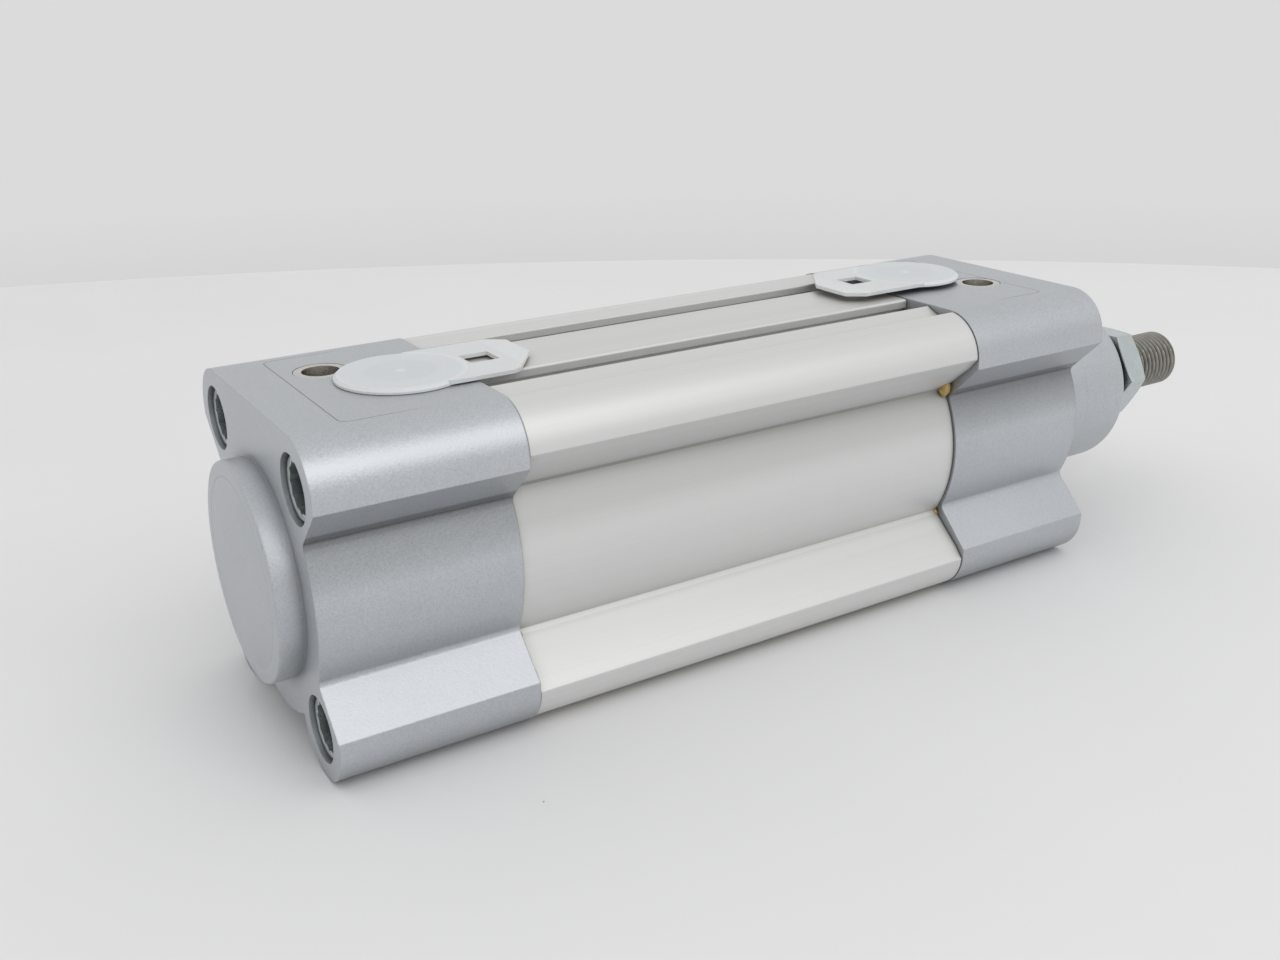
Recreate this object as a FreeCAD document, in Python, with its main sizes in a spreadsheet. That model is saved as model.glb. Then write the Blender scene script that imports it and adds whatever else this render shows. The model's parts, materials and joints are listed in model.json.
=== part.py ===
import FreeCAD, Part
import math
import os
import Sketcher

# Profile-barrel pneumatic cylinder, 40 mm bore and 50 mm stroke.
# X runs along the axis towards the rod, Z towards the ports; x = 0 is the
# rear mounting face and the cylinder axis is y = z = 0. Millimetres.

SIZES = {
    # tube, caps and their standard interface
    "bore_r": 20.0,
    "cap_len": 32.5,
    "barrel_len": 90.0,
    "cap_half": 27.0,
    "corner_r": 8.0,
    "screw_pos": 19.0,
    "collar_r": 17.5,
    "collar_len": 4.0,
    "spigot_len": 6.0,
    "spigot_gap": 0.05,
    # cap section
    "cap_bulge_r": 23.1,
    "flank_top_z": 17.6,
    "flank_fillet": 1.2,
    # front nose
    "guide_len": 10.0,
    "nose_len": 23.4,
    "nose_r": 16.9,
    "nose_round": 2.2,
    # barrel section
    "wall_r": 22.5,
    "top_z": 26.8,
    "strip_y": 7.5,
    "lip_in_y": 7.8,
    "lip_out_y": 13.3,
    "lip_low_z": 25.2,
    "slot_in_y": 6.8,
    "slot_out_y": 14.1,
    "slot_floor_z": 22.2,
    "groove_y": 16.3,
    "groove_z": 25.5,
    "lug_r": 7.8,
    "lug_top_y": 19.8,
    "facet_y": 25.2,
    "facet_z": 17.6,
    "lug_side_z": 19.5,
    "notch_y": 18.9,
    "notch_z": 12.2,
    "channel_r": 2.8,
    "tapped_r": 3.0,
    "tapped_len": 18.0,
    # cap screws, each with its own internal mounting thread
    "head_r": 5.0,
    "head_sink": 0.8,
    "head_end": 24.0,
    "counterbore_r": 5.25,
    "shank_r": 2.97,
    "shank_len": 16.0,
    "shank_hole_r": 3.3,
    "socket_r": 4.0,
    "socket_depth": 5.0,
    "mount_thread_r": 2.5,
    "mount_thread_end": 21.5,
    # ports and plugs
    "rear_port_x": 23.7,
    "rear_port_y": -1.5,
    "front_port_x": 133.2,
    "front_port_y": 4.4,
    "port_r": 5.7,
    "port_mouth_r": 6.6,
    "port_floor_z": 16.0,
    "passage_r": 3.5,
    "plug_r": 10.3,
    "plug_thick": 0.85,
    "stem_r": 5.6,
    "stem_wall": 1.1,
    "stem_len": 7.5,
    "tab_reach": 21.7,
    "tab_half": 9.6,
    "tab_thick": 0.7,
    "window_near": 10.8,
    "window_far": 15.8,
    "window_half": 2.5,
    # cushion adjusters
    "rear_needle_x": 14.3,
    "rear_needle_y": 8.5,
    "front_needle_x": 143.1,
    "front_needle_y": -5.6,
    "ring_r": 4.25,
    "ring_low_z": 20.6,
    "ring_top_z": 26.95,
    "ring_bore_r": 2.5,
    "sink_r": 3.0,
    "sink_z": 25.2,
    "needle_r": 2.44,
    "needle_top_z": 24.7,
    "needle_low_r": 2.3,
    "needle_bore_r": 2.9,
    "seat_z": 12.5,
    "duct_z": 13.8,
    "duct_r": 0.9,
    # chambers and the sealing inside them
    "rear_chamber_r": 9.0,
    "rear_chamber_x": 13.0,
    "front_chamber_r": 11.5,
    "bush_seat_x": 146.0,
    "bush_seat_r": 10.5,
    "seal_seat_x": 166.5,
    "seal_seat_r": 12.05,
    "run_gap": 0.05,
    # piston and rod
    "piston_x": 52.5,
    "piston_half": 13.0,
    "piston_r": 19.4,
    "stud_r": 5.0,
    "rod_r": 8.0,
    "rear_sleeve_r": 7.0,
    "front_sleeve_r": 10.0,
    "sleeve_len": 21.0,
    "shoulder_x": 185.0,
    "thread_r": 6.0,
    "thread_mean_r": 5.8,
    "rod_end_x": 209.0,
    "wrench_flat": 6.5,
    "nut_x": 187.3,
    "nut_width": 5.8,
    "nut_flat": 9.0,
    "nut_bore_r": 5.84,
}


class Dim:
    """A length that carries both its number and its spreadsheet formula."""

    def __init__(self, value, text):
        self.value = float(value)
        self.text = text

    def __add__(self, other):
        other = dim(other)
        return Dim(self.value + other.value, "(%s + %s)" % (self.text, other.text))

    def __sub__(self, other):
        other = dim(other)
        return Dim(self.value - other.value, "(%s - %s)" % (self.text, other.text))

    def __mul__(self, factor):
        return Dim(self.value * factor, "(%s * %r)" % (self.text, float(factor)))

    def __neg__(self):
        return self * -1.0

    __radd__ = __add__


def dim(value):
    """Any plain number as a Dim."""
    if isinstance(value, Dim):
        return value
    return Dim(value, "%r" % float(value))


doc = FreeCAD.newDocument("cylinder")
sheet = doc.addObject("Spreadsheet::Sheet", "Sizes")
D = {}
for row, (word, number) in enumerate(SIZES.items(), start=1):
    sheet.set("A%d" % row, word)
    sheet.set("B%d" % row, "%r" % number)
    sheet.setAlias("B%d" % row, word)
    D[word] = Dim(number, "Sizes.%s" % word)
doc.recompute()

BARREL_START = D["cap_len"]
BARREL_END = D["cap_len"] + D["barrel_len"]
FRONT_FACE = BARREL_END + D["cap_len"]
REAR_SPIGOT = BARREL_START + D["spigot_len"]
FRONT_SPIGOT = BARREL_END - D["spigot_len"]
PISTON_REAR = D["piston_x"] - D["piston_half"]
PISTON_FRONT = D["piston_x"] + D["piston_half"]
NOSE_END = FRONT_FACE + D["nose_len"]
NODES = {}


# ---------------------------------------------------------------- helpers
def bind(thing, prop, value):
    """Drive one property of a document object from the spreadsheet."""
    thing.setExpression(prop, dim(value).text)


def place(thing, x=0.0, y=0.0, z=0.0):
    for axis, value in zip("xyz", (x, y, z)):
        bind(thing, "Placement.Base.%s" % axis, value)


def rotate(thing, axis, degrees):
    turn = FreeCAD.Rotation(FreeCAD.Vector(*axis), degrees)
    thing.Placement = FreeCAD.Placement(thing.Placement.Base, turn)


def rod_x(name, radius, start, end, y=0.0, z=0.0):
    """Solid cylinder along X between two stations."""
    rod = doc.addObject("Part::Cylinder", name)
    rotate(rod, (0, 1, 0), 90)
    bind(rod, "Radius", radius)
    bind(rod, "Height", dim(end) - start)
    place(rod, start, y, z)
    return rod


def rod_z(name, radius, x, y, low, high):
    """Solid cylinder along Z between two heights."""
    rod = doc.addObject("Part::Cylinder", name)
    bind(rod, "Radius", radius)
    bind(rod, "Height", dim(high) - low)
    place(rod, x, y, low)
    return rod


def cone_z(name, low_r, high_r, x, y, low, high):
    cone = doc.addObject("Part::Cone", name)
    bind(cone, "Radius1", low_r)
    bind(cone, "Radius2", high_r)
    bind(cone, "Height", dim(high) - low)
    place(cone, x, y, low)
    return cone


def box(name, low, size):
    block = doc.addObject("Part::Box", name)
    for prop, value in zip(("Length", "Width", "Height"), size):
        bind(block, prop, value)
    place(block, *low)
    return block


def ring_x(name, major, minor, x):
    """O-ring lying around the cylinder axis."""
    ring = doc.addObject("Part::Torus", name)
    rotate(ring, (0, 1, 0), 90)
    bind(ring, "Radius1", major)
    bind(ring, "Radius2", minor)
    place(ring, x)
    return ring


def fuse(name, parts):
    joined = doc.addObject("Part::MultiFuse", name)
    joined.Shapes = parts
    return joined


def cut(name, base, tools):
    """The base with one or more tools taken away."""
    removed = doc.addObject("Part::Cut", name)
    removed.Base = base
    removed.Tool = tools[0] if len(tools) == 1 else fuse(name + "_tools", tools)
    return removed


def tube_x(name, inner, outer, start, end):
    core = rod_x(name + "_core", inner, dim(start) - 1, dim(end) + 1)
    return cut(name, rod_x(name + "_skin", outer, start, end), [core])


def node(name, thing):
    """Name a finished piece; the name is also its file."""
    thing.Label = name
    NODES[name] = thing
    return thing


def origin_plane(body, role):
    return [item for item in body.Origin.OriginFeatures if item.Role == role][0]


def outline(sketch, loop):
    """Closed loop of (x, y) vertices; an item ("via", x, y) bends an edge into an arc."""
    corners = []
    bends = {}
    for item in loop:
        if item[0] == "via":
            bends[len(corners) - 1] = FreeCAD.Vector(item[1], item[2], 0)
        else:
            corners.append(FreeCAD.Vector(dim(item[0]).value, dim(item[1]).value, 0))
    edges = []
    for i, here in enumerate(corners):
        after = corners[(i + 1) % len(corners)]
        if i in bends:
            edges.append(Part.Arc(here, bends[i], after))
        else:
            edges.append(Part.LineSegment(here, after))
    sketch.addGeometry(edges, False)


def circle(sketch, x, y, radius):
    """Round hole whose radius follows the spreadsheet."""
    centre = FreeCAD.Vector(dim(x).value, dim(y).value, 0)
    radius = dim(radius)
    geo = sketch.addGeometry(Part.Circle(centre, FreeCAD.Vector(0, 0, 1), radius.value), False)
    row = sketch.addConstraint(Sketcher.Constraint("Radius", geo, radius.value))
    sketch.setExpression("Constraints[%d]" % row, radius.text)


def sketched(name, role):
    """A body with an empty sketch on one of its own origin planes."""
    body = doc.addObject("PartDesign::Body", name)
    sketch = body.newObject("Sketcher::SketchObject", name + "_sketch")
    sketch.AttachmentSupport = [(origin_plane(body, role), "")]
    sketch.MapMode = "FlatFace"
    return body, sketch


def turned(name, profile):
    """Solid of revolution about the cylinder axis from (x, radius) vertices."""
    body, sketch = sketched(name, "XY_Plane")
    outline(sketch, profile)
    spin = body.newObject("PartDesign::Revolution", name + "_turn")
    spin.Profile = sketch
    spin.ReferenceAxis = (sketch, ["H_Axis"])
    spin.Angle = 360
    body.Tip = spin
    return body


def padded(name, role, length, loops, circles=()):
    """Extrusion of closed loops and round holes from an origin plane."""
    body, sketch = sketched(name, role)
    for loop in loops:
        outline(sketch, loop)
    for spot in circles:
        circle(sketch, *spot)
    pad = body.newObject("PartDesign::Pad", name + "_pad")
    pad.Profile = sketch
    bind(pad, "Length", length)
    body.Tip = pad
    return body, pad


def round_inner_corners(body, pad, corner, fillet):
    """Fillet the inside corners of an extrusion along X."""
    doc.recompute()
    inner = []
    for number, line in enumerate(pad.Shape.Edges, start=1):
        middle = line.CenterOfMass
        off = abs(abs(middle.y) - corner[0]) + abs(abs(middle.z) - corner[1])
        if line.BoundBox.XLength > 1.0 and off < 0.01:
            inner.append("Edge%d" % number)
    rounds = body.newObject("PartDesign::Fillet", body.Name + "_rounds")
    rounds.Base = (pad, inner)
    bind(rounds, "Radius", fillet)
    body.Tip = rounds


def mirrored(half):
    """Left half of a section from its right half, in running order."""
    flipped = []
    for item in reversed(half):
        if item[0] == "via":
            flipped.append(("via", -item[1], item[2]))
        else:
            flipped.append((-dim(item[0]), item[1]))
    return flipped


def on_circle(cx, cy, radius, degrees):
    angle = math.radians(degrees)
    return ("via", cx + radius * math.cos(angle), cy + radius * math.sin(angle))


def screw_corners():
    for y_side in (-1.0, 1.0):
        for z_side in (-1.0, 1.0):
            yield D["screw_pos"] * y_side, D["screw_pos"] * z_side


# ------------------------------------------------------------ barrel and caps
def barrel_section():
    s, r = SIZES["screw_pos"], SIZES["lug_r"]
    wall = SIZES["wall_r"]
    lug_end = D["screw_pos"] + D["lug_r"] - 0.02
    half = [
        (D["strip_y"], D["top_z"]),
        (D["lip_in_y"], D["top_z"] - 0.3),
        (D["lip_in_y"], D["lip_low_z"]),
        (D["slot_in_y"], D["lip_low_z"]),
        (D["slot_in_y"], D["slot_floor_z"] + 0.5),
        (D["slot_in_y"] + 0.5, D["slot_floor_z"]),
        (D["slot_out_y"] - 0.5, D["slot_floor_z"]),
        (D["slot_out_y"], D["slot_floor_z"] + 0.5),
        (D["slot_out_y"], D["lip_low_z"]),
        (D["lip_out_y"], D["lip_low_z"]),
        (D["lip_out_y"], D["top_z"] - 0.3),
        (D["lip_out_y"] + 0.2, D["top_z"] - 0.1),
        (D["slot_out_y"] + 0.2, D["top_z"] - 0.5),
        (D["groove_y"], D["groove_z"]),
        (D["lug_top_y"] - 0.4, D["top_z"] - 0.35),
        (D["lug_top_y"], lug_end),
        on_circle(s, s, r, 45),
        (lug_end, D["lug_side_z"]),
        (D["facet_y"], D["facet_z"]),
        (D["notch_y"] + 0.6, D["notch_z"] + 0.45),
        (D["notch_y"] + 0.15, D["notch_z"] - 0.23),
        on_circle(0, 0, wall, 0),
        (D["notch_y"] + 0.15, -(D["notch_z"] - 0.23)),
        (D["notch_y"] + 0.6, -(D["notch_z"] + 0.45)),
        (D["facet_y"], -D["facet_z"]),
        (lug_end, -D["lug_side_z"]),
        on_circle(s, -s, r, -45),
        (D["lug_side_z"], -lug_end),
        (D["facet_z"], -D["facet_y"]),
        (D["notch_z"] + 0.45, -(D["notch_y"] + 0.6)),
        (D["notch_z"] - 0.23, -(D["notch_y"] + 0.15)),
    ]
    return half + [("via", 0.0, -wall)] + mirrored(half)


def build_barrel():
    holes = [(0.0, 0.0, D["bore_r"])]
    holes += [(y, z, D["channel_r"]) for y, z in screw_corners()]
    body, _ = padded("barrel_body", "YZ_Plane", D["barrel_len"], [barrel_section()], holes)
    place(body, BARREL_START)
    taps = []
    for number, (y, z) in enumerate(screw_corners()):
        taps.append(rod_x("tap_rear_%d" % number, D["tapped_r"],
                          BARREL_START - 1, BARREL_START + D["tapped_len"], y, z))
        taps.append(rod_x("tap_front_%d" % number, D["tapped_r"],
                          BARREL_END - D["tapped_len"], BARREL_END + 1, y, z))
    node("barrel", cut("barrel_cut", body, taps))


def flank_foot():
    """Where a cap's 45 degree flank meets its round bulge."""
    drop = SIZES["cap_half"] - SIZES["flank_top_z"]
    y = (drop + math.sqrt(2 * SIZES["cap_bulge_r"] ** 2 - drop ** 2)) / 2
    return y, y - drop


def lug_foot():
    """Where the round of a lower screw lug meets the bulge."""
    reach = SIZES["screw_pos"] * math.sqrt(2)
    along = (reach ** 2 + SIZES["cap_bulge_r"] ** 2 - SIZES["corner_r"] ** 2) / (2 * reach)
    across = math.sqrt(SIZES["cap_bulge_r"] ** 2 - along ** 2)
    return (along - across) / math.sqrt(2), (along + across) / math.sqrt(2)


def cap_section():
    s, r = SIZES["screw_pos"], SIZES["corner_r"]
    bulge = SIZES["cap_bulge_r"]
    flank_y, flank_z = flank_foot()
    lug_y, lug_z = lug_foot()
    half = [
        (D["screw_pos"], D["cap_half"]),
        on_circle(s, s, r, 45),
        (D["cap_half"], D["screw_pos"]),
        (D["cap_half"], D["flank_top_z"]),
        (flank_y, flank_z),
        on_circle(0, 0, bulge, 0),
        (flank_y, -flank_z),
        (D["cap_half"], -D["flank_top_z"]),
        (D["cap_half"], -D["screw_pos"]),
        on_circle(s, -s, r, -85),
        (lug_y, -lug_z),
    ]
    return half + [("via", 0.0, -bulge)] + mirrored(half)


def cap_block(name, start):
    body, pad = padded(name + "_block", "YZ_Plane", D["cap_len"], [cap_section()])
    round_inner_corners(body, pad, flank_foot(), D["flank_fillet"])
    place(body, start)
    return body


def screw_holes(name, face, inward):
    """Counterbores and clearance holes of one cap's four screws."""
    holes = []
    for number, (y, z) in enumerate(screw_corners()):
        spans = ((D["counterbore_r"], dim(face) - inward, dim(face) + D["head_end"] * inward),
                 (D["shank_hole_r"], face, dim(face) + (D["cap_len"] + 1) * inward))
        for step, (radius, outer, inner) in enumerate(spans):
            low, high = (outer, inner) if inward > 0 else (inner, outer)
            holes.append(rod_x("%s_hole_%d_%d" % (name, number, step), radius, low, high, y, z))
    return holes


def port_hole(name, x, y):
    roof = D["cap_half"]
    return [
        rod_z(name + "_port", D["port_r"], x, y, D["port_floor_z"], roof + 1),
        cone_z(name + "_port_mouth", D["port_r"], D["port_mouth_r"], x, y, roof - 0.9, roof),
        rod_z(name + "_passage", D["passage_r"], x, y, 5.0, D["port_floor_z"] + 1),
    ]


def adjuster_hole(name, x, y, mouth):
    """Stepped hole of a cushion adjuster and the duct it throttles."""
    ring_seat = rod_z(name + "_ring_seat", D["ring_r"] + 0.1, x, y, D["ring_low_z"] - 0.1,
                      D["cap_half"] + 1)
    low_x, high_x = (x, mouth) if dim(mouth).value > dim(x).value else (mouth, x)
    return [
        ring_seat,
        rod_z(name + "_screw_bore", D["needle_bore_r"], x, y, D["seat_z"], D["cap_half"]),
        rod_z(name + "_seat_hole", 1.0, x, y, 1.0, D["seat_z"] + 1),
        rod_x(name + "_duct", D["duct_r"], low_x, high_x, y, D["duct_z"]),
    ]


def spigot_points(base, tip, bore):
    """Cap spigot that centres the barrel, with its O-ring groove."""
    way = 1.0 if dim(tip).value > dim(base).value else -1.0
    radius = D["bore_r"] - D["spigot_gap"]
    groove = radius - 1.9
    return [
        (dim(base) - 1.0 * way, bore),
        (dim(base) - 1.0 * way, radius),
        (dim(base) + 1.9 * way, radius),
        (dim(base) + 1.9 * way, groove),
        (dim(base) + 4.1 * way, groove),
        (dim(base) + 4.1 * way, radius),
        (dim(tip) - 0.6 * way, radius),
        (tip, radius - 0.6),
        (tip, bore),
    ]


def build_rear_cap():
    collar = turned("rear_collar", [
        (1.0, 0.0),
        (1.0, D["collar_r"]),
        (-D["collar_len"] + 0.45, D["collar_r"]),
        (-D["collar_len"] + 0.12, D["collar_r"] - 0.14),
        (-D["collar_len"], D["collar_r"] - 0.5),
        (-D["collar_len"], D["collar_r"] - 2.3),
        (-D["collar_len"] + 0.07, D["collar_r"] - 2.45),
        (-D["collar_len"], D["collar_r"] - 2.6),
        (-D["collar_len"], 0.0),
    ])
    spigot = turned("rear_spigot", spigot_points(BARREL_START, REAR_SPIGOT, 0.0))
    chamber = turned("rear_chamber", [
        (D["rear_chamber_x"], 0.0),
        (D["rear_chamber_x"], D["rear_chamber_r"]),
        (REAR_SPIGOT - 5.0, D["rear_chamber_r"]),
        (REAR_SPIGOT - 5.0, D["rear_chamber_r"] + 1.6),
        (REAR_SPIGOT - 1.5, D["rear_chamber_r"] + 1.6),
        (REAR_SPIGOT - 1.5, D["rear_chamber_r"]),
        (REAR_SPIGOT + 1.0, D["rear_chamber_r"]),
        (REAR_SPIGOT + 1.0, 0.0),
    ])
    solid = fuse("rear_cap_solid", [cap_block("rear_cap", 0.0), collar, spigot])
    tools = [chamber]
    tools += screw_holes("rear", 0.0, 1.0)
    tools += port_hole("rear", D["rear_port_x"], D["rear_port_y"])
    tools += adjuster_hole("rear", D["rear_needle_x"], D["rear_needle_y"], REAR_SPIGOT + 1)
    node("rear_cap", cut("rear_cap_cut", solid, tools))


def build_front_cap():
    nose = turned("front_nose", [
        (FRONT_FACE - 1.0, 5.0),
        (FRONT_FACE - 1.0, D["collar_r"]),
        (FRONT_FACE + D["guide_len"], D["collar_r"]),
        (FRONT_FACE + D["guide_len"] + 0.4, D["nose_r"]),
        (NOSE_END - D["nose_round"], D["nose_r"]),
        on_circle(SIZES["cap_len"] * 2 + SIZES["barrel_len"] + SIZES["nose_len"]
                  - SIZES["nose_round"],
                  SIZES["nose_r"] - SIZES["nose_round"], SIZES["nose_round"], 45),
        (NOSE_END, D["nose_r"] - D["nose_round"]),
        (NOSE_END, 5.0),
    ])
    spigot = turned("front_spigot", spigot_points(BARREL_END, FRONT_SPIGOT, 5.0))
    chamber = turned("front_chamber", [
        (FRONT_SPIGOT - 1.0, 0.0),
        (FRONT_SPIGOT - 1.0, D["front_chamber_r"]),
        (FRONT_SPIGOT + 1.5, D["front_chamber_r"]),
        (FRONT_SPIGOT + 1.5, D["front_chamber_r"] + 2.1),
        (FRONT_SPIGOT + 5.0, D["front_chamber_r"] + 2.1),
        (FRONT_SPIGOT + 5.0, D["front_chamber_r"]),
        (D["bush_seat_x"], D["front_chamber_r"]),
        (D["bush_seat_x"], D["bush_seat_r"]),
        (D["seal_seat_x"], D["bush_seat_r"]),
        (D["seal_seat_x"], D["seal_seat_r"]),
        (NOSE_END + 1.0, D["seal_seat_r"]),
        (NOSE_END + 1.0, 0.0),
    ])
    solid = fuse("front_cap_solid", [cap_block("front_cap", BARREL_END), nose, spigot])
    tools = [chamber]
    tools += screw_holes("front", FRONT_FACE, -1.0)
    tools += port_hole("front", D["front_port_x"], D["front_port_y"])
    tools += adjuster_hole("front", D["front_needle_x"], D["front_needle_y"], FRONT_SPIGOT - 1)
    node("front_cap", cut("front_cap_cut", solid, tools))


# ------------------------------------------------------------------- screws
def hexagon_x(name, radius, start, length, y, z, twist):
    prism = doc.addObject("Part::Prism", name)
    prism.Polygon = 6
    bind(prism, "Circumradius", radius)
    bind(prism, "Height", length)
    turn = FreeCAD.Rotation(FreeCAD.Vector(0, 1, 0), 90)
    spin = FreeCAD.Rotation(FreeCAD.Vector(0, 0, 1), twist)
    prism.Placement = FreeCAD.Placement(FreeCAD.Vector(0, 0, 0), turn.multiply(spin))
    place(prism, start, y, z)
    return prism


def cap_screw(name, face, inward, y, z):
    """One cap screw: twelve-point socket and mounting thread in the head."""
    top = dim(face) + D["head_sink"] * inward
    seat = dim(face) + D["head_end"] * inward
    tip = dim(face) + (D["cap_len"] + D["shank_len"]) * inward
    floor = top + D["socket_depth"] * inward
    bottom = dim(face) + D["mount_thread_end"] * inward

    def span(tag, radius, outer, inner):
        low, high = (outer, inner) if inward > 0 else (inner, outer)
        return rod_x("%s_%s" % (name, tag), radius, low, high, y, z)

    solid = fuse(name + "_solid", [
        span("head", D["head_r"], top + 0.35 * inward, seat),
        span("face", D["head_r"] - 0.35, top, seat),
        span("shank", D["shank_r"], seat - 1.0 * inward, tip - 0.8 * inward),
        span("point", D["shank_r"] - 0.6, seat, tip),
    ])
    mouth = top - 1.0 * inward
    low = mouth if inward > 0 else floor
    tools = [hexagon_x("%s_socket_%d" % (name, twist), D["socket_r"], low,
                       D["socket_depth"] + 1, y, z, twist) for twist in (0, 30)]
    tools.append(span("thread", D["mount_thread_r"], top, bottom))
    return cut(name, solid, tools)


def build_cap_screws():
    for side, face, inward in (("rear", 0.0, 1.0), ("front", FRONT_FACE, -1.0)):
        group = doc.addObject("Part::Compound", side + "_screw_group")
        group.Links = [cap_screw("%s_screw_%d" % (side, number), face, inward, y, z)
                       for number, (y, z) in enumerate(screw_corners())]
        node(side + "_cap_screws", group)


# -------------------------------------------------------- seals and bearings
def build_static_seals():
    seat = D["bore_r"] - D["spigot_gap"] - 0.93
    node("rear_barrel_seal", ring_x("rear_o_ring", seat, 0.9, BARREL_START + 3.0))
    node("front_barrel_seal", ring_x("front_o_ring", seat, 0.9, BARREL_END - 3.0))
    node("rod_piston_seal", ring_x("stud_o_ring", D["stud_r"] + 0.86, 0.8, D["piston_x"] + 5.4))


def build_cushion_seals():
    inner = D["rear_sleeve_r"] + D["run_gap"]
    outer = D["rear_chamber_r"] + 1.5
    node("rear_cushion_seal", turned("rear_cushion_ring", [
        (REAR_SPIGOT - 4.9, inner + 0.6),
        (REAR_SPIGOT - 4.9, outer),
        (REAR_SPIGOT - 1.6, outer),
        (REAR_SPIGOT - 1.6, inner + 0.5),
        (REAR_SPIGOT - 2.2, inner),
        (REAR_SPIGOT - 3.6, inner),
    ]))
    inner = D["front_sleeve_r"] + D["run_gap"]
    outer = D["front_chamber_r"] + 2.0
    node("front_cushion_seal", turned("front_cushion_ring", [
        (FRONT_SPIGOT + 4.9, inner + 0.6),
        (FRONT_SPIGOT + 4.9, outer),
        (FRONT_SPIGOT + 1.6, outer),
        (FRONT_SPIGOT + 1.6, inner + 0.5),
        (FRONT_SPIGOT + 2.2, inner),
        (FRONT_SPIGOT + 3.6, inner),
    ]))


def build_rod_guides():
    run = D["rod_r"] + D["run_gap"]
    node("rod_bearing_bush", tube_x("rod_bush", run, D["bush_seat_r"] - 0.03,
                                    D["bush_seat_x"] + 1.0, D["seal_seat_x"] - 0.5))
    rim = D["seal_seat_r"] - 0.05
    start = D["seal_seat_x"]
    node("rod_seal", turned("rod_lip_seal", [
        (start + 5.9, run + 0.5),
        (start + 5.9, rim),
        (start + 0.2, rim),
        (start + 0.2, rim - 0.9),
        (start + 3.0, rim - 1.9),
        (start + 0.2, run + 0.7),
        (start + 0.2, run),
        (start + 2.4, run + 0.3),
    ]))
    node("rod_wiper", turned("rod_wiper_ring", [
        (start + 6.3, run + 0.8),
        (start + 6.3, rim),
        (NOSE_END - 0.3, rim),
        (NOSE_END - 0.1, rim - 0.3),
        (NOSE_END - 0.1, run + 1.7),
        (NOSE_END + 0.7, run + 0.5),
        (NOSE_END + 0.7, run),
        (NOSE_END - 0.5, run),
    ]))


# --------------------------------------------------------- cushion adjusters
def adjuster(name, x, y):
    """Guide ring, throttle screw and its O-ring for one cap."""
    ring = cut(name + "_ring_cut", rod_z(name + "_ring_blank", D["ring_r"], x, y,
                                         D["ring_low_z"], D["ring_top_z"]), [
        rod_z(name + "_ring_bore", D["ring_bore_r"], x, y, D["ring_low_z"] - 1,
              D["ring_top_z"]),
        cone_z(name + "_ring_sink", D["sink_r"] - 0.12, D["sink_r"], x, y, D["sink_z"],
               D["ring_top_z"]),
    ])
    node(name + "_cushion_ring", ring)
    top = D["needle_top_z"]
    stem = fuse(name + "_needle_solid", [
        rod_z(name + "_needle_head", D["needle_r"], x, y, D["ring_low_z"] + 0.4, top),
        rod_z(name + "_needle_stem", D["needle_low_r"], x, y, D["seat_z"] + 2.4, top - 1),
        cone_z(name + "_needle_tip", 0.3, 1.7, x, y, D["seat_z"] - 1.2, D["seat_z"] + 2.5),
    ])
    groove = cut(name + "_needle_groove",
                 rod_z(name + "_groove_out", 2.8, x, y, 16.1, 17.5),
                 [rod_z(name + "_groove_in", 1.7, x, y, 15.0, 18.5)])
    slot = box(name + "_needle_slot", (x - 3.0, y - 0.35, top - 1.2), (6.0, 0.7, 2.0))
    node(name + "_cushion_screw", cut(name + "_needle_cut", stem, [groove, slot]))
    seal = doc.addObject("Part::Torus", name + "_needle_o_ring")
    seal.Radius1 = 2.3
    seal.Radius2 = 0.55
    place(seal, x, y, 16.8)
    node(name + "_cushion_screw_seal", seal)


# --------------------------------------------------------------- port plugs
def port_plug(name, x, y, lift, turn):
    """Push-in plug with a thin flange and a pull tab with a window."""
    tab_half, reach = D["tab_half"], D["tab_reach"]
    window = [(D["window_near"], D["window_half"]), (D["window_far"], D["window_half"]),
              (D["window_far"], -D["window_half"]), (D["window_near"], -D["window_half"])]
    shape = [(4.0, tab_half), (reach - 3.2, tab_half), (reach, tab_half - 2.4),
             (reach, -1.2), (reach - 5.4, -tab_half + 0.7), (reach - 6.8, -tab_half),
             (4.0, -tab_half)]
    tab, _ = padded(name + "_tab", "XY_Plane", D["tab_thick"], [shape, window])
    place(tab, 0.0, 0.0, 0.15)
    rib_loop = [(reach - 4.6, tab_half - 0.4), (reach - 3.4, tab_half - 0.4),
                (reach - 0.4, tab_half - 2.6), (reach - 0.4, -1.1), (reach - 4.6, -7.4)]
    rib, _ = padded(name + "_rib", "XY_Plane", D["plug_thick"] - 0.15, [rib_loop])
    place(rib, 0.0, 0.0, 0.15)
    solid = fuse(name + "_solid", [
        rod_z(name + "_flange", D["plug_r"], 0.0, 0.0, 0.0, D["plug_thick"] - 0.45),
        cone_z(name + "_flange_edge", D["plug_r"], D["plug_r"] - 0.5, 0.0, 0.0,
               D["plug_thick"] - 0.45, D["plug_thick"]),
        rod_z(name + "_stem", D["stem_r"], 0.0, 0.0, -D["stem_len"], 0.5),
        tab,
        rib,
    ])
    plug = cut(name + "_cut", solid, [
        rod_z(name + "_hollow", D["stem_r"] - D["stem_wall"], 0.0, 0.0,
              -D["stem_len"] - 1, -0.4),
    ])
    rotate(plug, (0, 0, 1), turn)
    place(plug, x, y, D["cap_half"] + lift)
    node(name, plug)


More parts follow.
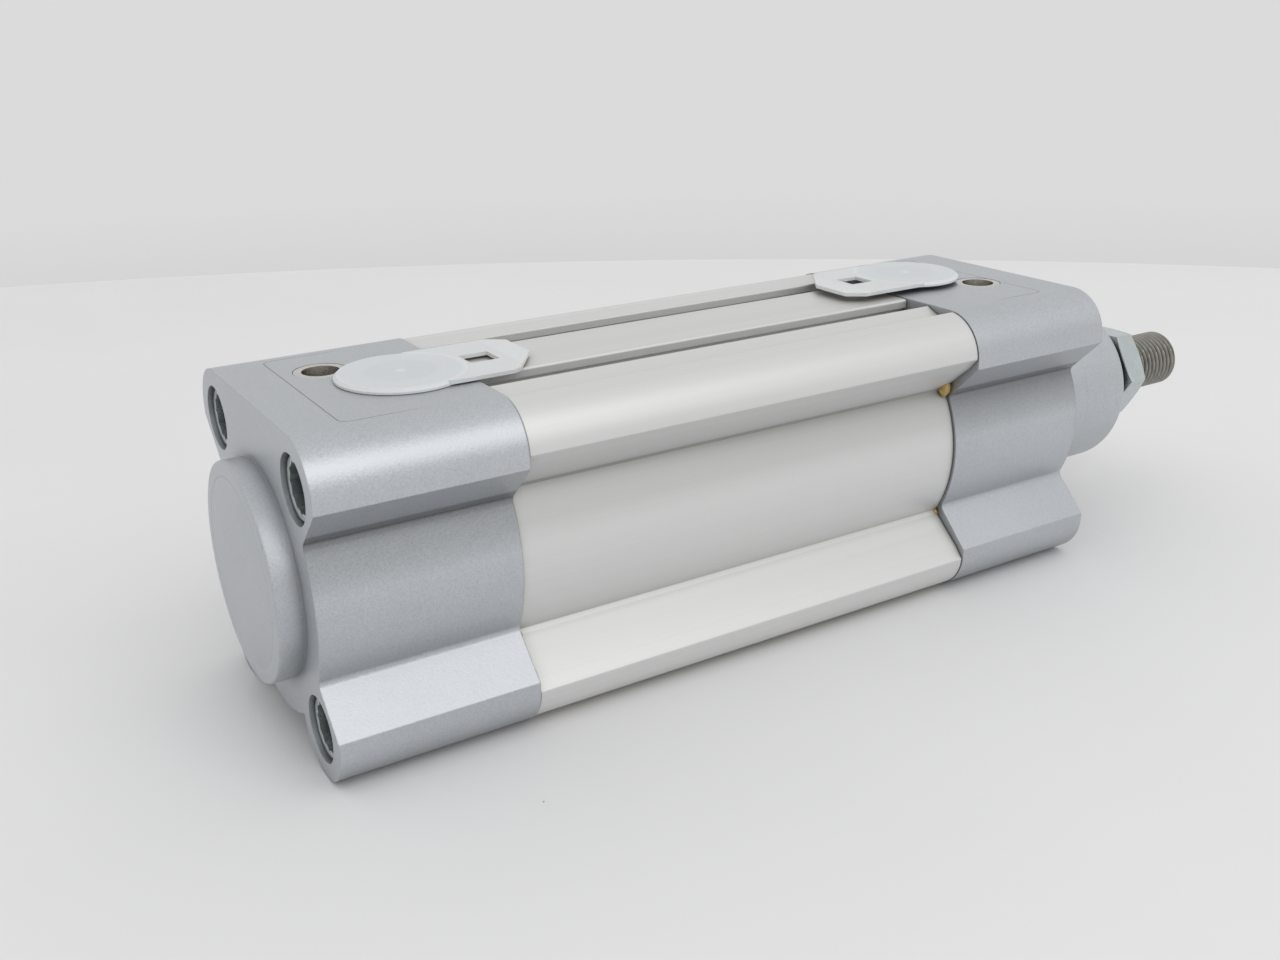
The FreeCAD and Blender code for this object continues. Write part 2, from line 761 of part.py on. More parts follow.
# ----------------------------------------------------------- piston and rod
def piston_half_points(way):
    """Piston half from its middle plane outwards; way is +1 towards the rod."""
    def at(offset):
        return D["piston_x"] + offset * way

    bore = D["stud_r"] + 0.02
    points = [
        (at(0.0), bore),
        (at(0.0), 11.45),
        (at(2.5), 11.45),
        (at(2.5), 16.9),
        (at(0.0), 16.9),
        (at(0.0), 18.0),
        (at(3.5), 18.0),
        (at(3.5), D["piston_r"]),
        (at(6.0), D["piston_r"]),
        (at(6.0), 15.4),
        (at(10.0), 15.4),
        (at(10.0), D["piston_r"]),
        (at(12.5), D["piston_r"]),
        (at(13.0), D["piston_r"] - 0.5),
        (at(13.0), 14.6),
        (at(11.0), 14.6),
        (at(11.0), 10.4),
        (at(13.0), 10.4),
        (at(13.0), bore),
    ]
    if way > 0:
        points += [(at(6.4), bore), (at(6.4), bore + 1.68), (at(4.4), bore + 1.68),
                   (at(4.4), bore)]
    return points


def lip_seal_points(way):
    def at(offset):
        return D["piston_x"] + offset * way

    wall = D["bore_r"] - D["run_gap"]
    return [
        (at(6.1), 15.5),
        (at(6.1), wall - 0.9),
        (at(8.0), wall - 0.7),
        (at(9.6), wall),
        (at(9.9), wall - 0.1),
        (at(9.9), wall - 0.8),
        (at(8.0), 17.6),
        (at(9.9), 16.3),
        (at(9.9), 15.5),
    ]


def build_piston():
    wall = D["bore_r"] - D["run_gap"]
    for side, way in (("rear", -1.0), ("front", 1.0)):
        node("piston_%s_half" % side, turned("piston_%s" % side, piston_half_points(way)))
        node("piston_%s_seal" % side, turned("lip_%s" % side, lip_seal_points(way)))
        near = D["piston_x"] + 11.05 * way
        far = D["piston_x"] + 13.6 * way
        low, high = (near, far) if way > 0 else (far, near)
        node("piston_%s_buffer" % side, tube_x("buffer_%s" % side, 10.5, 14.5, low, high))
    middle = D["piston_x"]
    node("piston_magnet", tube_x("magnet", 11.55, 16.8, middle - 2.4, middle + 2.4))
    node("piston_guide_ring", tube_x("guide_ring", 18.1, wall, middle - 3.4, middle + 3.4))


def build_rod():
    """Rod, stud and end thread; inside the nut the thread is drawn at its mean radius."""
    stud_start = PISTON_REAR - D["sleeve_len"] + 3.5
    thread, mean = D["thread_r"], D["thread_mean_r"]
    free_start = D["nut_x"] + D["nut_width"] + 0.2
    blank = turned("rod_blank", [
        (stud_start, 0.0),
        (stud_start, D["stud_r"] - 0.6),
        (stud_start + 0.6, D["stud_r"]),
        (PISTON_FRONT, D["stud_r"]),
        (PISTON_FRONT, D["rod_r"]),
        (D["shoulder_x"] - 0.7, D["rod_r"]),
        (D["shoulder_x"], D["rod_r"] - 0.7),
        (D["shoulder_x"], thread - 0.85),
        (D["shoulder_x"] + 1.6, thread - 0.85),
        (D["shoulder_x"] + 2.2, mean),
        (free_start, mean),
        (free_start, thread),
        (D["rod_end_x"] - 0.8, thread),
        (D["rod_end_x"], thread - 0.8),
        (D["rod_end_x"], 0.0),
    ])
    flats = [box("rod_flat_%d" % side, (D["shoulder_x"] - 5.0, -10.0, low), (5.5, 20.0, 4.0))
             for side, low in enumerate((D["wrench_flat"], -D["wrench_flat"] - 4.0))]
    node("piston_rod", cut("rod_cut", blank, flats))


def build_sleeves():
    tip = PISTON_REAR - D["sleeve_len"]
    node("rear_cushion_sleeve", turned("rear_sleeve", [
        (tip, 0.0),
        (tip, D["rear_sleeve_r"] - 1.2),
        (tip + 1.6, D["rear_sleeve_r"] - 0.4),
        (tip + 3.0, D["rear_sleeve_r"]),
        (PISTON_REAR, D["rear_sleeve_r"]),
        (PISTON_REAR, D["stud_r"] + 0.02),
        (tip + 3.2, D["stud_r"] + 0.02),
        (tip + 3.2, 0.0),
    ]))
    tip = PISTON_FRONT + D["sleeve_len"]
    node("front_cushion_sleeve", turned("front_sleeve", [
        (PISTON_FRONT + 0.02, D["rod_r"] + 0.02),
        (PISTON_FRONT + 0.02, D["front_sleeve_r"]),
        (tip - 3.0, D["front_sleeve_r"]),
        (tip - 1.2, D["front_sleeve_r"] - 0.4),
        (tip, D["front_sleeve_r"] - 1.0),
        (tip, D["rod_r"] + 0.02),
    ]))


def build_rod_nut():
    """Thin hexagon nut with both faces chamfered round the corners."""
    start, width = D["nut_x"], D["nut_width"]
    corner = D["nut_flat"] * (1.0 / math.cos(math.pi / 6))
    prism = hexagon_x("nut_hexagon", corner, start, width, 0.0, 0.0, 90)
    end = start + width
    bore = D["nut_bore_r"]
    limit = turned("nut_limit", [
        (start, bore + 0.6),
        (start, D["nut_flat"] - 0.2),
        (start + 0.75, corner + 0.1),
        (end - 0.75, corner + 0.1),
        (end, D["nut_flat"] - 0.2),
        (end, bore + 0.6),
        (end - 0.6, bore),
        (start + 0.6, bore),
    ])
    nut = doc.addObject("Part::MultiCommon", "nut_common")
    nut.Shapes = [prism, limit]
    node("rod_nut", nut)


# -------------------------------------------------------------------- build
def check_document():
    for thing in doc.Objects:
        bad = [flag for flag in thing.State if flag in ("Invalid", "Error")]
        if bad:
            raise RuntimeError("%s did not compute: %s" % (thing.Name, bad))
    for name, thing in NODES.items():
        shape = thing.Shape
        if shape.isNull() or not shape.isValid() or not shape.Solids:
            raise RuntimeError("%s has no sound solid" % name)


def write_nodes():
    os.makedirs("parts", exist_ok=True)
    for name, thing in NODES.items():
        thing.Shape.exportStep(os.path.join("parts", name + ".step"))
        reach = thing.Shape.BoundBox
        print("%-28s %d solid(s) %9.1f mm3  x %.1f..%.1f" % (
            name, len(thing.Shape.Solids), thing.Shape.Volume, reach.XMin, reach.XMax))


build_barrel()
build_rear_cap()
build_front_cap()
build_cap_screws()
build_static_seals()
build_cushion_seals()
build_rod_guides()
adjuster("rear", D["rear_needle_x"], D["rear_needle_y"])
adjuster("front", D["front_needle_x"], D["front_needle_y"])
port_plug("rear_port_plug", D["rear_port_x"], D["rear_port_y"], 0.05, 0)
port_plug("front_port_plug", D["front_port_x"], D["front_port_y"], 0.75, 180)
build_piston()
build_rod()
build_sleeves()
build_rod_nut()
doc.recompute()
check_document()
write_nodes()
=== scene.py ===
"""Looks of the profile-barrel pneumatic cylinder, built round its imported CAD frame.

Metres throughout; X runs along the cylinder to the rod end, Z up to the two ports.
"""
import json
import math
import random

import bmesh
import bpy
from mathutils import Matrix, Vector

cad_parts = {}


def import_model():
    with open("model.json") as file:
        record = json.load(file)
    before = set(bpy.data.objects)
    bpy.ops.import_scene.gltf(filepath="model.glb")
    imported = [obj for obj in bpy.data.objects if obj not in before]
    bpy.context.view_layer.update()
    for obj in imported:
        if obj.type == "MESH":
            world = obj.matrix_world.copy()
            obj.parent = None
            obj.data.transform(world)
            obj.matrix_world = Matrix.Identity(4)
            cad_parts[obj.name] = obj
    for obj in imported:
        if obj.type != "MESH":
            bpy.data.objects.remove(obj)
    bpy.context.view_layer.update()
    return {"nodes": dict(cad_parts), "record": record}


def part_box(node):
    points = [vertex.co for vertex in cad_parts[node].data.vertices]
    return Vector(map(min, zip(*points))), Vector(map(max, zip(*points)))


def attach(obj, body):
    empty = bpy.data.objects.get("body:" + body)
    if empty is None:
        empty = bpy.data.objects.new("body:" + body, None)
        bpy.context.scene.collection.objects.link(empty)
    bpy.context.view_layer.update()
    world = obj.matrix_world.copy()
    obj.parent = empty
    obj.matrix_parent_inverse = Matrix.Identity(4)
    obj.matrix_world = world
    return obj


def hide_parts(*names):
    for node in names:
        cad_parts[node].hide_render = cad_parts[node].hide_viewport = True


MM = 0.001

# Stations along X.
BODY_MID_X = 77.5 * MM          # halfway between the two mounting faces
BARREL_HALF = 45.0 * MM         # half the barrel's length
SEAT_END_X = 65.5 * MM          # the rod steps up to full size here
FLATS_X = 180.0 * MM            # the rod's spanner flats start here
NUT_SPLIT_X = 180.0 * MM        # the cap screws lie before this station, the nut beyond it
BARE_X = 185.0 * MM             # bare steel beyond this station
NUT_BACK_X = 187.35 * MM        # just inside the nut's rear face

# The machined pad on top of each cap.
PAD_INSET = 7.9 * MM            # from the cap's end face
PAD_HALF_WIDTH = 18.4 * MM
PAD_CORNER = 1.5 * MM
PAD_FADE = (22 * MM, 16 * MM)   # its line fades out between these distances from the end face
CAP_TOP_Z = (26.6 * MM, 26.75 * MM)

# The sides of caps and barrel, which hollow in under the upper screw lugs; painted shade is laid
# over these heights and widths.
LUG_UNDER_Z = (4.0 * MM, 8.0 * MM)
SIDE_Y = (18.0 * MM, 18.6 * MM)
HOLLOW_Z = (3.0 * MM, 11.8 * MM)
HOLLOW_TOP_Z = (12.6 * MM, 13.0 * MM)

# The transport plugs, as radii about the stem.
PLUG_REACH = 10.3 * MM          # the disc's own radius
PLUG_MIDDLE = (0.5 * MM, 1.1 * MM)
PLUG_STEM = (5.2 * MM, 6.4 * MM)
PLUG_EDGE = (9.2 * MM, 10.2 * MM)
PLUG_TAB = (10.2 * MM, 10.6 * MM)
PLUG_BAR = (16.4 * MM, 17.4 * MM)

# Most of a noise texture's values lie between these two.
NOISE_LOW, NOISE_HIGH = 0.3, 0.7


def rgb(red, green, blue):
    return (red, green, blue, 1.0)


PAINT_SILVER = rgb(0.52, 0.54, 0.566)
ANODISED = rgb(0.665, 0.67, 0.66)
# Brown tint for the painted shade in the barrel's corners.
CORNER_SHADE_BROWN = rgb(0.56, 0.53, 0.47)
JOINT_DARK = rgb(0.16, 0.17, 0.15)
ZINC = rgb(0.70, 0.76, 0.765)
# Painted shade inside the screw sockets.
SOCKET_SHADE = rgb(0.035, 0.06, 0.065)
STAINLESS = rgb(0.62, 0.60, 0.56)
CHROME = rgb(0.60, 0.585, 0.56)
BARE_STEEL = rgb(0.34, 0.325, 0.295)
BARE_ALUMINIUM = rgb(0.72, 0.72, 0.73)
BRONZE = rgb(0.50, 0.30, 0.14)
RUBBER = rgb(0.02, 0.02, 0.02)
POLYURETHANE = rgb(0.06, 0.10, 0.13)
GUIDE_BLACK = rgb(0.03, 0.03, 0.03)
MAGNET_GREY = rgb(0.05, 0.05, 0.05)
MILKY, MILKY_LIGHT = rgb(0.67, 0.705, 0.725), rgb(0.69, 0.725, 0.74)
MILKY_STEM, MILKY_PALE = rgb(0.635, 0.67, 0.69), rgb(0.80, 0.815, 0.82)
GLUE_DARK, GLUE_LIGHT = rgb(0.30, 0.20, 0.05), rgb(0.55, 0.42, 0.16)
BOARD_WHITE, DUST = rgb(0.805, 0.805, 0.81), rgb(0.30, 0.28, 0.25)


# ------------------------------------------------------------ node helpers
class Graph:
    """A material's node tree with a principled shader, built socket by socket."""

    def __init__(self, name):
        self.material = bpy.data.materials.new(name)
        self.material.use_nodes = True
        self.tree = self.material.node_tree
        self.tree.nodes.clear()
        self.shader = self.tree.nodes.new("ShaderNodeBsdfPrincipled")
        output = self.tree.nodes.new("ShaderNodeOutputMaterial")
        self.join(self.shader.outputs[0], output.inputs["Surface"])
        self.place = self.node("ShaderNodeTexCoord").outputs["Object"]

    def join(self, source, target):
        self.tree.links.new(source, target)

    def feed(self, socket, value):
        """Link a socket, or set its value if it is a plain number or colour."""
        if isinstance(value, bpy.types.NodeSocket):
            self.join(value, socket)
        else:
            socket.default_value = value

    def node(self, kind, settings=None, **inputs):
        """New node; an input's name has _ for each space."""
        made = self.tree.nodes.new(kind)
        for key, value in (settings or {}).items():
            setattr(made, key, value)
        for key, value in inputs.items():
            self.feed(made.inputs[key.replace("_", " ")], value)
        return made

    def set(self, **inputs):
        """Feed the shader's inputs."""
        for key, value in inputs.items():
            self.feed(self.shader.inputs[key.replace("_", " ")], value)

    def math(self, operation, *values):
        made = self.node("ShaderNodeMath", {"operation": operation})
        for socket, value in zip(made.inputs, values):
            self.feed(socket, value)
        return made.outputs[0]

    def product(self, first, second):
        return self.math("MULTIPLY", first, second)

    def length(self, first, second):
        """Length of the two-part vector."""
        squares = self.math("ADD", self.product(first, first), self.product(second, second))
        return self.math("SQRT", squares)

    def distance(self, value, centre):
        """Distance of a value from a centre, either way."""
        return self.math("ABSOLUTE", self.math("SUBTRACT", value, centre))

    def vector(self, operation, first, second):
        made = self.node("ShaderNodeVectorMath", {"operation": operation})
        self.feed(made.inputs[0], first)
        self.feed(made.inputs[1], second)
        return made.outputs[0]

    def parts(self, vector):
        """X, Y and Z of a vector."""
        return self.node("ShaderNodeSeparateXYZ", Vector=vector).outputs

    def stretch(self, scale):
        """Object coordinates scaled per axis, for grain that runs one way."""
        return self.node("ShaderNodeMapping", Vector=self.place, Scale=scale).outputs[0]

    def noise(self, scale, detail, roughness=0.5):
        made = self.node("ShaderNodeTexNoise", Vector=self.place,
                         Scale=scale, Detail=detail, Roughness=roughness)
        return made.outputs[0]

    def streaks(self, scale, detail, roughness):
        """Noise with its own scale along each axis."""
        made = self.node("ShaderNodeTexNoise", Vector=self.stretch(scale),
                         Scale=1.0, Detail=detail, Roughness=roughness)
        return made.outputs[0]

    def flakes(self, scale):
        """Small cells, each with a random grey value and a random colour to tilt by."""
        made = self.node("ShaderNodeTexVoronoi", Vector=self.place, Scale=scale)
        colour = made.outputs["Color"]
        return self.node("ShaderNodeSeparateColor", Color=colour).outputs[0], colour

    def tilted(self, normal, colour, amount):
        """A normal pushed a little to one side by a random colour."""
        centred = self.vector("SUBTRACT", colour, (0.5, 0.5, 0.5))
        scaled = self.node("ShaderNodeVectorMath", {"operation": "SCALE"}, Scale=amount)
        self.join(centred, scaled.inputs[0])
        total = self.vector("ADD", normal, scaled.outputs[0])
        unit = self.node("ShaderNodeVectorMath", {"operation": "NORMALIZE"})
        self.join(total, unit.inputs[0])
        return unit.outputs[0]

    def span(self, value, low, high, start=0.0, end=1.0):
        """Map start..end of a value onto low..high, held at both ends."""
        made = self.node("ShaderNodeMapRange", {"clamp": True}, Value=value)
        made.inputs["From Min"].default_value = start
        made.inputs["From Max"].default_value = end
        made.inputs["To Min"].default_value = low
        made.inputs["To Max"].default_value = high
        return made.outputs[0]

    def spread(self, noise, low, high):
        """Map the usual values of a noise onto low..high."""
        return self.span(noise, low, high, NOISE_LOW, NOISE_HIGH)

    def rise(self, value, start, end):
        """0 before the start, 1 after the end."""
        return self.span(value, 0.0, 1.0, start, end)

    def fall(self, value, start, end):
        """1 before the start, 0 after the end."""
        return self.span(value, 1.0, 0.0, start, end)

    def blend(self, factor, first, second):
        made = self.node("ShaderNodeMix", {"data_type": "RGBA"})
        return self.mixed(made, factor, first, second)

    def tint(self, colour, factor):
        """Colour multiplied by a grey value or by another colour."""
        made = self.node("ShaderNodeMix", {"data_type": "RGBA", "blend_type": "MULTIPLY"})
        return self.mixed(made, 1.0, colour, factor)

    def mixed(self, mixer, factor, first, second):
        """Feed a colour mixer: its inputs 6 and 7 are the two colours, output 2 the result."""
        self.feed(mixer.inputs[0], factor)
        self.feed(mixer.inputs[6], first)
        self.feed(mixer.inputs[7], second)
        return mixer.outputs[2]

    def bump(self, height, strength, depth, under=None):
        made = self.node("ShaderNodeBump", Height=height, Strength=strength, Distance=depth)
        if under is not None:
            self.join(under, made.inputs["Normal"])
        return made.outputs[0]

    def soft_edges(self, radius):
        """Normal that rounds sharp edges over the radius."""
        return self.node("ShaderNodeBevel", {"samples": 4}, Radius=radius).outputs[0]

    def corner_shade(self, reach):
        """Grey value that falls in corners narrower than the reach, used to paint shade into them.
        """
        made = self.node("ShaderNodeAmbientOcclusion", {"samples": 6}, Distance=reach)
        return made.outputs["AO"]

    def shade_under_lugs(self, colour, flank, hollow):
        """Painted shade: darken the faces under the upper lugs and the round of the side just
        below them.
        """
        normal = self.node("ShaderNodeTexCoord").outputs["Normal"]
        facing, place = self.parts(normal), self.parts(self.place)
        height = place[2]
        down = self.product(self.fall(facing[2], -0.45, -0.2), self.rise(height, *LUG_UNDER_Z))
        outward = self.product(self.rise(self.math("ABSOLUTE", facing[1]), 0.6, 0.8),
                               self.rise(self.math("ABSOLUTE", place[1]), *SIDE_Y))
        below = self.product(self.rise(height, *HOLLOW_Z), self.fall(height, *HOLLOW_TOP_Z))
        colour = self.tint(colour, self.span(down, 1.0, flank))
        return self.tint(colour, self.span(self.product(outward, below), 1.0, hollow))


# --------------------------------------------------------------- materials
def cap_paint():
    """Silver metallic paint on a casting: flakes tilted at random under a faint orange peel, with
    painted shade in its corners and under the lugs.
    """
    g = Graph("cap_paint")
    flake, tilt = g.flakes(5600)
    shade = g.math("ADD", g.span(flake, 0.91, 1.07), g.spread(g.noise(60, 3), -0.02, 0.02))
    base = g.tint(PAINT_SILVER, shade)
    line = pad_line(g)
    base = g.tint(base, g.span(line, 1.0, 0.45))
    # Painted shade in the corners, then under the lugs and on the side just below them.
    base = g.tint(base, g.span(g.corner_shade(2.6 * MM), 0.55, 1.0, 0.25, 0.85))
    base = g.tint(base, g.span(g.corner_shade(9.0 * MM), 0.78, 1.0, 0.35, 0.85))
    base = g.shade_under_lugs(base, flank=0.86, hollow=0.42)
    height = g.math("SUBTRACT", g.noise(2600, 3), g.product(line, 2.0))
    normal = g.bump(height, 0.5, 0.05 * MM, g.soft_edges(0.3 * MM))
    g.set(Base_Color=base, Metallic=0.78, Roughness=g.span(flake, 0.36, 0.46),
          Normal=g.tilted(normal, tilt, 0.06))
    return g.material


def pad_line(g):
    """Hairline round the machined pad on top of each cap, fading out before the barrel."""
    x, y, z = g.parts(g.place)
    from_mid = g.distance(x, BODY_MID_X)
    past_end = g.math("SUBTRACT", from_mid, BODY_MID_X - PAD_INSET)
    past_side = g.math("SUBTRACT", g.math("ABSOLUTE", y), PAD_HALF_WIDTH)
    corner_x = g.math("MAXIMUM", g.math("ADD", past_end, PAD_CORNER), 0.0)
    corner_y = g.math("MAXIMUM", g.math("ADD", past_side, PAD_CORNER), 0.0)
    off_line = g.distance(g.length(corner_x, corner_y), PAD_CORNER)
    near = g.fall(off_line, 0.05 * MM, 0.13 * MM)
    fade = g.rise(from_mid, BODY_MID_X - PAD_FADE[0], BODY_MID_X - PAD_FADE[1])
    return g.product(g.product(near, fade), g.rise(z, *CAP_TOP_Z))


def anodised_aluminium():
    """Clear anodised extrusion: long die lines, pale and slightly warm, dark at its two joints,
    with painted shade in its corners, tinted brown, and under the lugs.
    """
    g = Graph("anodised_aluminium")
    lines = g.streaks((6, 2600, 2600), 3, 0.6)
    bands = g.streaks((3, 420, 420), 2, 0.5)
    rubs = g.streaks((2400, 90, 90), 3, 0.6)
    grain = g.noise(5200, 2)
    shade = g.math("ADD", g.spread(lines, 0.98, 1.015), g.spread(bands, -0.015, 0.015))
    base = g.tint(ANODISED, shade)
    # Painted shade, tinted brown, in the corners; then painted shade under the lugs.
    base = g.blend(g.rise(g.corner_shade(2.6 * MM), 0.25, 0.9), g.tint(base, CORNER_SHADE_BROWN), base)
    base = g.shade_under_lugs(base, flank=0.94, hollow=0.66)
    x = g.parts(g.place)[0]
    from_end = g.math("SUBTRACT", BARREL_HALF, g.distance(x, BODY_MID_X))
    base = g.blend(g.fall(from_end, 0.12 * MM, 0.26 * MM), base, JOINT_DARK)
    height = g.math("ADD", g.math("ADD", lines, g.product(rubs, 0.3)), g.product(grain, 0.6))
    normal = g.bump(height, 0.10, 0.03 * MM, g.soft_edges(0.25 * MM))
    g.set(Base_Color=base, Metallic=0.45, Roughness=g.span(grain, 0.38, 0.50), Normal=normal)
    return g.material


def zinc_plate():
    """Zinc plate: bluish with faint clouding; painted shade inside the screw sockets, in narrow
    corners and on the nut's rear face, and the nut a little darker overall.
    """
    g = Graph("zinc_plate")
    cloud = g.noise(420, 4)
    grain = g.noise(6000, 2)
    base = g.tint(ZINC, g.spread(cloud, 0.95, 1.03))
    x = g.parts(g.place)[0]
    depth = g.math("SUBTRACT", BODY_MID_X, g.distance(x, BODY_MID_X))
    # Painted shade down inside the screw sockets.
    socket = g.product(g.rise(depth, 1.6 * MM, 3.4 * MM), g.fall(depth, 8 * MM, 9 * MM))
    base = g.blend(socket, base, SOCKET_SHADE)
    # Painted shade in narrow corners.
    base = g.tint(base, g.span(g.corner_shade(1.2 * MM), 0.45, 1.0, 0.2, 0.7))
    # The nut is a little darker than the screw heads, with painted shade on its rear face.
    screw = g.fall(x, NUT_SPLIT_X, NUT_SPLIT_X + 1 * MM)
    nut_tone_and_shade = g.span(x, 0.12, 0.78, NUT_BACK_X, NUT_BACK_X + 0.45 * MM)
    base = g.tint(base, g.math("MAXIMUM", screw, nut_tone_and_shade))
    normal = g.bump(grain, 0.15, 0.02 * MM, g.soft_edges(0.2 * MM))
    g.set(Base_Color=base, Metallic=0.85, Roughness=g.spread(cloud, 0.2, 0.3), Normal=normal)
    return g.material


def turned_metal(name, colour, rough):
    """Turned metal: fine rings across the X axis, with painted shade in narrow corners."""
    g = Graph(name)
    rings = g.streaks((9000, 160, 160), 2, 0.5)
    cloud = g.noise(300, 3)
    base = g.tint(colour, g.spread(rings, 0.9, 1.06))
    base = g.tint(base, g.spread(cloud, 0.94, 1.04))
    # Painted shade in narrow corners.
    base = g.tint(base, g.span(g.corner_shade(0.8 * MM), 0.25, 1.0, 0.3, 0.85))
    g.set(Base_Color=base, Metallic=1.0, Roughness=g.spread(cloud, rough, rough + 0.08),
          Normal=g.bump(rings, 0.2, 0.02 * MM))
    return g.material


def rod_steel():
    """Chromed rod, bright and smooth, with darker bare steel on the thread at its end and painted
    shade in the thread's grooves.
    """
    g = Graph("chromed_rod")
    rings = g.streaks((9000, 160, 160), 2, 0.5)
    cloud = g.noise(500, 4)
    x, y, z = g.parts(g.place)
    bare = g.rise(x, BARE_X, BARE_X + 0.2 * MM)
    base = g.tint(g.blend(bare, CHROME, BARE_STEEL), g.spread(rings, 0.96, 1.02))
    worn = g.tint(base, g.spread(cloud, 0.88, 1.08))
    base = g.blend(g.math("MAXIMUM", bare, 0.12), base, worn)
    # Painted shade down in the thread's grooves.
    groove_shade = g.product(bare, g.fall(g.length(y, z), 5.3 * MM, 5.85 * MM))
    base = g.tint(base, g.span(groove_shade, 1.0, 0.22))
    rough = g.math("ADD", g.spread(cloud, 0.17, 0.19), g.product(bare, 0.1))
    g.set(Base_Color=base, Metallic=1.0, Roughness=rough, Normal=g.bump(rings, 0.08, 0.01 * MM))
    return g.material


def moulded(name, colour, rough):
    """Moulded rubber or plastic: even colour with a fine matt grain."""
    g = Graph(name)
    grain = g.noise(2600, 3)
    base = g.tint(colour, g.spread(g.noise(120, 3), 0.85, 1.15))
    normal = g.bump(grain, 0.25, 0.04 * MM, g.soft_edges(0.15 * MM))
    g.set(Base_Color=base, Roughness=g.spread(grain, rough - 0.06, rough + 0.06), Normal=normal)
    return g.material


def plug_plastic(name, centre, tab_way):
    """Milky polyethylene: darker over the stem, paler at edge and tab, the tab a bit clearer."""
    g = Graph(name)
    cloud = g.noise(260, 3)
    flow = g.streaks((90, 260, 260), 3, 0.6)
    x, y, _ = g.parts(g.place)
    along = g.product(g.math("SUBTRACT", x, centre[0]), tab_way)
    reach = g.length(along, g.distance(y, centre[1]))
    tab = g.rise(reach, *PLUG_TAB)
    bar = g.product(tab, g.rise(along, *PLUG_BAR))
    stem = g.fall(reach, *PLUG_STEM)
    middle = g.fall(reach, *PLUG_MIDDLE)
    edge = g.product(g.rise(reach, *PLUG_EDGE), g.span(tab, 1.0, 0.0))
    pale = g.math("MAXIMUM", g.math("MAXIMUM", edge, middle), tab)
    base = g.blend(g.spread(cloud, 0.0, 1.0), MILKY, MILKY_LIGHT)
    base = g.blend(g.product(stem, 0.6), base, MILKY_STEM)
    base = g.blend(g.product(pale, 0.7), base, MILKY_PALE)
    dense = g.math("MAXIMUM", g.span(tab, 0.93, 0.86), g.product(bar, 0.9))
    g.set(Base_Color=base, Roughness=g.spread(cloud, 0.36, 0.46), IOR=1.45,
          Normal=g.bump(flow, 0.3, 0.08 * MM), Alpha=dense, Subsurface_Weight=0.3,
          Subsurface_Scale=0.6 * MM)
    return g.material


def residue():
    """Dried yellowish sealant squeezed out at the joints."""
    g = Graph("residue")
    cloud = g.noise(1600, 4)
    g.set(Base_Color=g.blend(cloud, GLUE_DARK, GLUE_LIGHT), Roughness=0.45,
          Subsurface_Weight=0.2, Subsurface_Scale=0.5 * MM, Normal=g.bump(cloud, 0.5, 0.1 * MM))
    return g.material


def board_white():
    """Matt white board with faint mottling and specks of dust, paler towards its rim with painted
    light.
    """
    g = Graph("board_white")
    base = g.tint(BOARD_WHITE, g.spread(g.noise(14, 4), 0.985, 1.01))
    base = g.blend(g.rise(g.noise(420, 3, 0.6), 0.775, 0.80), base, DUST)
    reach = g.node("ShaderNodeVectorMath", {"operation": "LENGTH"})
    g.join(g.place, reach.inputs[0])
    # Painted light: the board grows paler towards its rim.
    base = g.tint(base, g.span(reach.outputs["Value"], 1.0, 1.08, 0.62, 0.93))
    g.set(Base_Color=base, Roughness=0.75, Normal=g.bump(g.noise(900, 3), 0.15, 0.05 * MM))
    return g.material


def slot_materials():
    """One finish for each of the record's material slots but the plugs', which get their own."""
    return {
        "cap_paint": cap_paint(),
        "anodised_aluminium": anodised_aluminium(),
        "zinc_plate": zinc_plate(),
        "stainless": turned_metal("stainless", STAINLESS, 0.2),
        "chromed_rod": rod_steel(),
        "bare_aluminium": turned_metal("bare_aluminium", BARE_ALUMINIUM, 0.3),
        "seal_rubber": moulded("seal_rubber", RUBBER, 0.5),
        "seal_polyurethane": moulded("seal_polyurethane", POLYURETHANE, 0.4),
        "bearing_bronze": turned_metal("bearing_bronze", BRONZE, 0.35),
        "guide_plastic": moulded("guide_plastic", GUIDE_BLACK, 0.45),
        "magnet": moulded("magnet", MAGNET_GREY, 0.6),
    }


# ------------------------------------------------------------ mesh helpers
def linked(name, mesh):
    piece = bpy.data.objects.new(name, mesh)
    bpy.context.scene.collection.objects.link(piece)
    return piece


def smooth_piece(name, points, faces, material):
    """New smooth-shaded object from points and faces."""
    mesh = bpy.data.meshes.new(name)
    mesh.from_pydata(points, [], faces)
    mesh.update()
    mesh.validate()
    for face in mesh.polygons:
        face.use_smooth = True
    mesh.materials.append(material)
    return linked(name, mesh)


def ring_faces(rings, around):
    """Quads between neighbouring rings of points."""
    faces = []
    for ring in range(rings - 1):
        for k in range(around):
            a, b = ring * around + k, ring * around + (k + 1) % around
            faces.append((a, b, b + around, a + around))
    return faces


def mark_sharp(piece, degrees):
    """Keep edges steeper than the limit crisp under smooth shading."""
    piece.data.set_sharp_from_angle(angle=math.radians(degrees))


def body_of(frame, node):
    bodies = frame["record"]["behaviour"]["bodies"]
    return next(body for body, members in bodies.items() if node in members)


# ------------------------------------------------------------------- pieces
def thread_radius(x, turn, start, end, crest, pitch):
    """Radius of a right-hand thread at a station and a share of a turn."""
    wave = abs(((x / pitch - turn) % 1.0) * 2 - 1)
    crest_flat, flank, groove_depth = 0.12, 0.76, 0.61 * pitch
    depth = groove_depth * min(1.0, max(0.0, (wave - crest_flat) / flank))
    run_in = min(1.0, max(0.0, (x - start) / (1.2 * MM)))
    run_out = min(1.0, max(0.0, (end - x) / (0.4 * MM)))
    return crest - depth * min(run_in, run_out)


